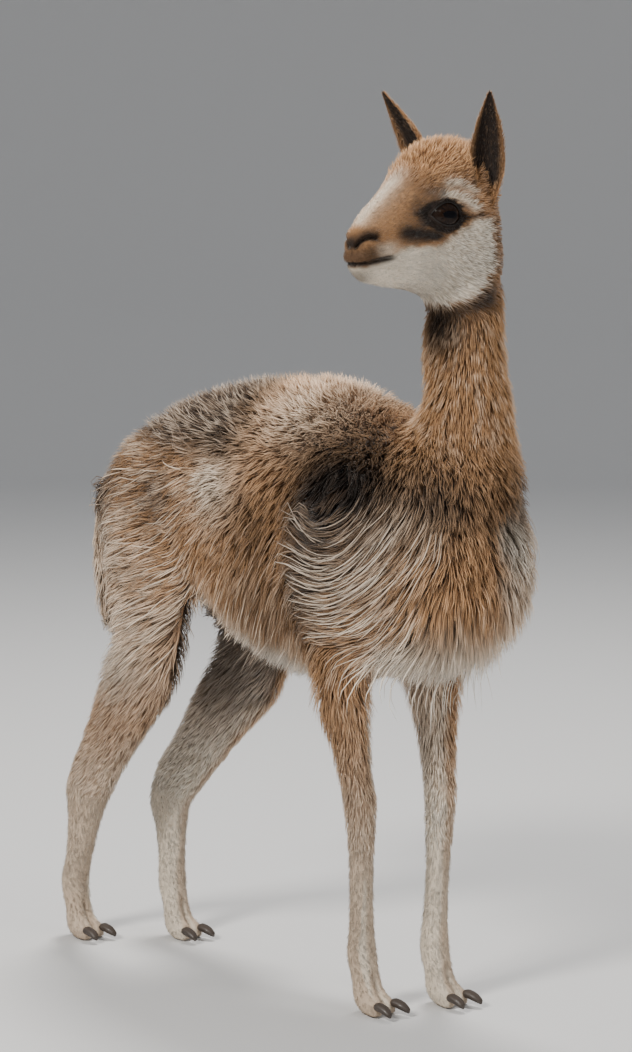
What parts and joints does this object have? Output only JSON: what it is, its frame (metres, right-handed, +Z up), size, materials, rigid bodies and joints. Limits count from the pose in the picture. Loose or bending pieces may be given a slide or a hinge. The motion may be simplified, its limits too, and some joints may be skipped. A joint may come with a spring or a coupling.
{
  "type": "standing vicuna",
  "caption": "Still life-size vicuna standing on all fours with its head turned to its right and its ears up, in a woolly cinnamon and cream coat.",
  "frame": {"origin": "middle of the bounding box at the level of the soles", "axes": "+X towards the animal's front, +Y to its left, +Z up"},
  "size_m": [0.8156, 0.348, 1.2151],
  "materials": {
    "coat_cinnamon": "soft woolly cinnamon fur, darker along the back and paler at the tips",
    "coat_pale": "cream to white fur of the jaw, chest, belly and inner legs",
    "eye": "wet dark brown eye, very glossy",
    "nail": "dark horn with fine lengthwise ridges"
  },
  "bodies": {
    "root": {"head": "coat_cinnamon", "jaw": "coat_pale", "eye_left": "eye", "eye_right": "eye", "ear_left": "coat_cinnamon", "ear_right": "coat_cinnamon", "tail": "coat_cinnamon", "neck_upper": "coat_cinnamon", "neck_lower": "coat_cinnamon", "thigh_hind_right": "coat_cinnamon", "shank_hind_right": "coat_cinnamon", "cannon_hind_right": "coat_cinnamon", "nail_hind_right_left": "nail", "nail_hind_right_right": "nail", "foot_hind_right": "coat_cinnamon", "thigh_hind_left": "coat_cinnamon", "shank_hind_left": "coat_cinnamon", "cannon_hind_left": "coat_cinnamon", "nail_hind_left_left": "nail", "nail_hind_left_right": "nail", "foot_hind_left": "coat_cinnamon", "shoulder_front_right": "coat_cinnamon", "forearm_front_right": "coat_cinnamon", "cannon_front_right": "coat_cinnamon", "nail_front_right_left": "nail", "nail_front_right_right": "nail", "foot_front_right": "coat_cinnamon", "shoulder_front_left": "coat_cinnamon", "forearm_front_left": "coat_cinnamon", "cannon_front_left": "coat_cinnamon", "nail_front_left_left": "nail", "nail_front_left_right": "nail", "foot_front_left": "coat_cinnamon", "chest": "coat_pale", "barrel": "coat_cinnamon", "rump": "coat_cinnamon"}
  },
  "joints": []
}
